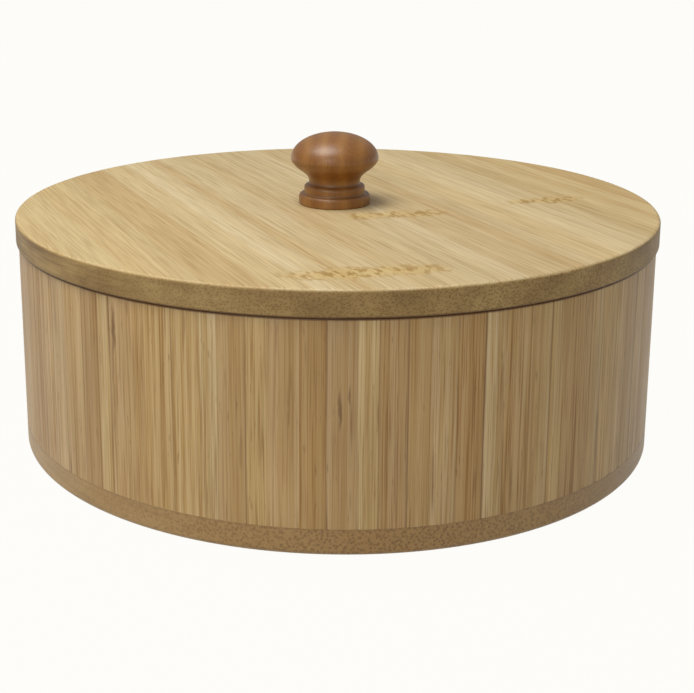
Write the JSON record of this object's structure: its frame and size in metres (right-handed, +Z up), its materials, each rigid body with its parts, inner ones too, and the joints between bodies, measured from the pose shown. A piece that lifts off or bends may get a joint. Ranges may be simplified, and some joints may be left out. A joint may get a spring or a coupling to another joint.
{
  "type": "lidded cookie jar",
  "caption": "Low round bamboo jar with a coopered wall, a glued-up base and a lift-off lid carrying a turned mushroom knob.",
  "frame": {"origin": "middle of the base's underside, where the jar stands", "axes": "+Z up the jar's own axis, the way the lid lifts off; -Y faces the viewer of the picture, +X to the viewer's right"},
  "size_m": [0.25, 0.25, 0.1183],
  "materials": {
    "wall_bamboo": "satin lacquer over caramel and honey strips",
    "base_bamboo": "satin lacquer",
    "lid_bamboo": "sanded, satin lacquer",
    "ring_bamboo": "sanded",
    "knob_wood": "satin lacquer, darker than the jar",
    "screw_steel": "zinc plated"
  },
  "bodies": {
    "jar": {"base_board_01": "base_bamboo", "base_board_02": "base_bamboo", "base_board_03": "base_bamboo", "base_board_04": "base_bamboo", "base_board_05": "base_bamboo", "base_board_06": "base_bamboo", "base_board_07": "base_bamboo", "base_board_08": "base_bamboo", "base_board_09": "base_bamboo", "base_board_10": "base_bamboo", "base_board_11": "base_bamboo", "wall_stave_01": "wall_bamboo", "wall_stave_02": "wall_bamboo", "wall_stave_03": "wall_bamboo", "wall_stave_04": "wall_bamboo", "wall_stave_05": "wall_bamboo", "wall_stave_06": "wall_bamboo", "wall_stave_07": "wall_bamboo", "wall_stave_08": "wall_bamboo", "wall_stave_09": "wall_bamboo", "wall_stave_10": "wall_bamboo", "wall_stave_11": "wall_bamboo", "wall_stave_12": "wall_bamboo", "wall_stave_13": "wall_bamboo", "wall_stave_14": "wall_bamboo", "wall_stave_15": "wall_bamboo", "wall_stave_16": "wall_bamboo", "wall_stave_17": "wall_bamboo", "wall_stave_18": "wall_bamboo", "wall_stave_19": "wall_bamboo", "wall_stave_20": "wall_bamboo", "wall_stave_21": "wall_bamboo", "wall_stave_22": "wall_bamboo", "wall_stave_23": "wall_bamboo", "wall_stave_24": "wall_bamboo", "wall_stave_25": "wall_bamboo", "wall_stave_26": "wall_bamboo", "wall_stave_27": "wall_bamboo", "wall_stave_28": "wall_bamboo", "wall_stave_29": "wall_bamboo", "wall_stave_30": "wall_bamboo"},
    "lid": {"knob": "knob_wood", "knob_screw": "screw_steel", "knob_washer": "screw_steel", "lid_board_01": "lid_bamboo", "lid_board_02": "lid_bamboo", "lid_board_03": "lid_bamboo", "lid_board_04": "lid_bamboo", "lid_board_05": "lid_bamboo", "lid_board_06": "lid_bamboo", "lid_board_07": "lid_bamboo", "lid_board_08": "lid_bamboo", "lid_board_09": "lid_bamboo", "lid_board_10": "lid_bamboo", "lid_board_11": "lid_bamboo", "locating_ring": "ring_bamboo"}
  },
  "joints": [
    {"name": "lid_lift", "type": "slide", "parent": "jar", "child": "lid", "axis": [0, 0, 1], "range_m": [0, 0.15]}
  ]
}
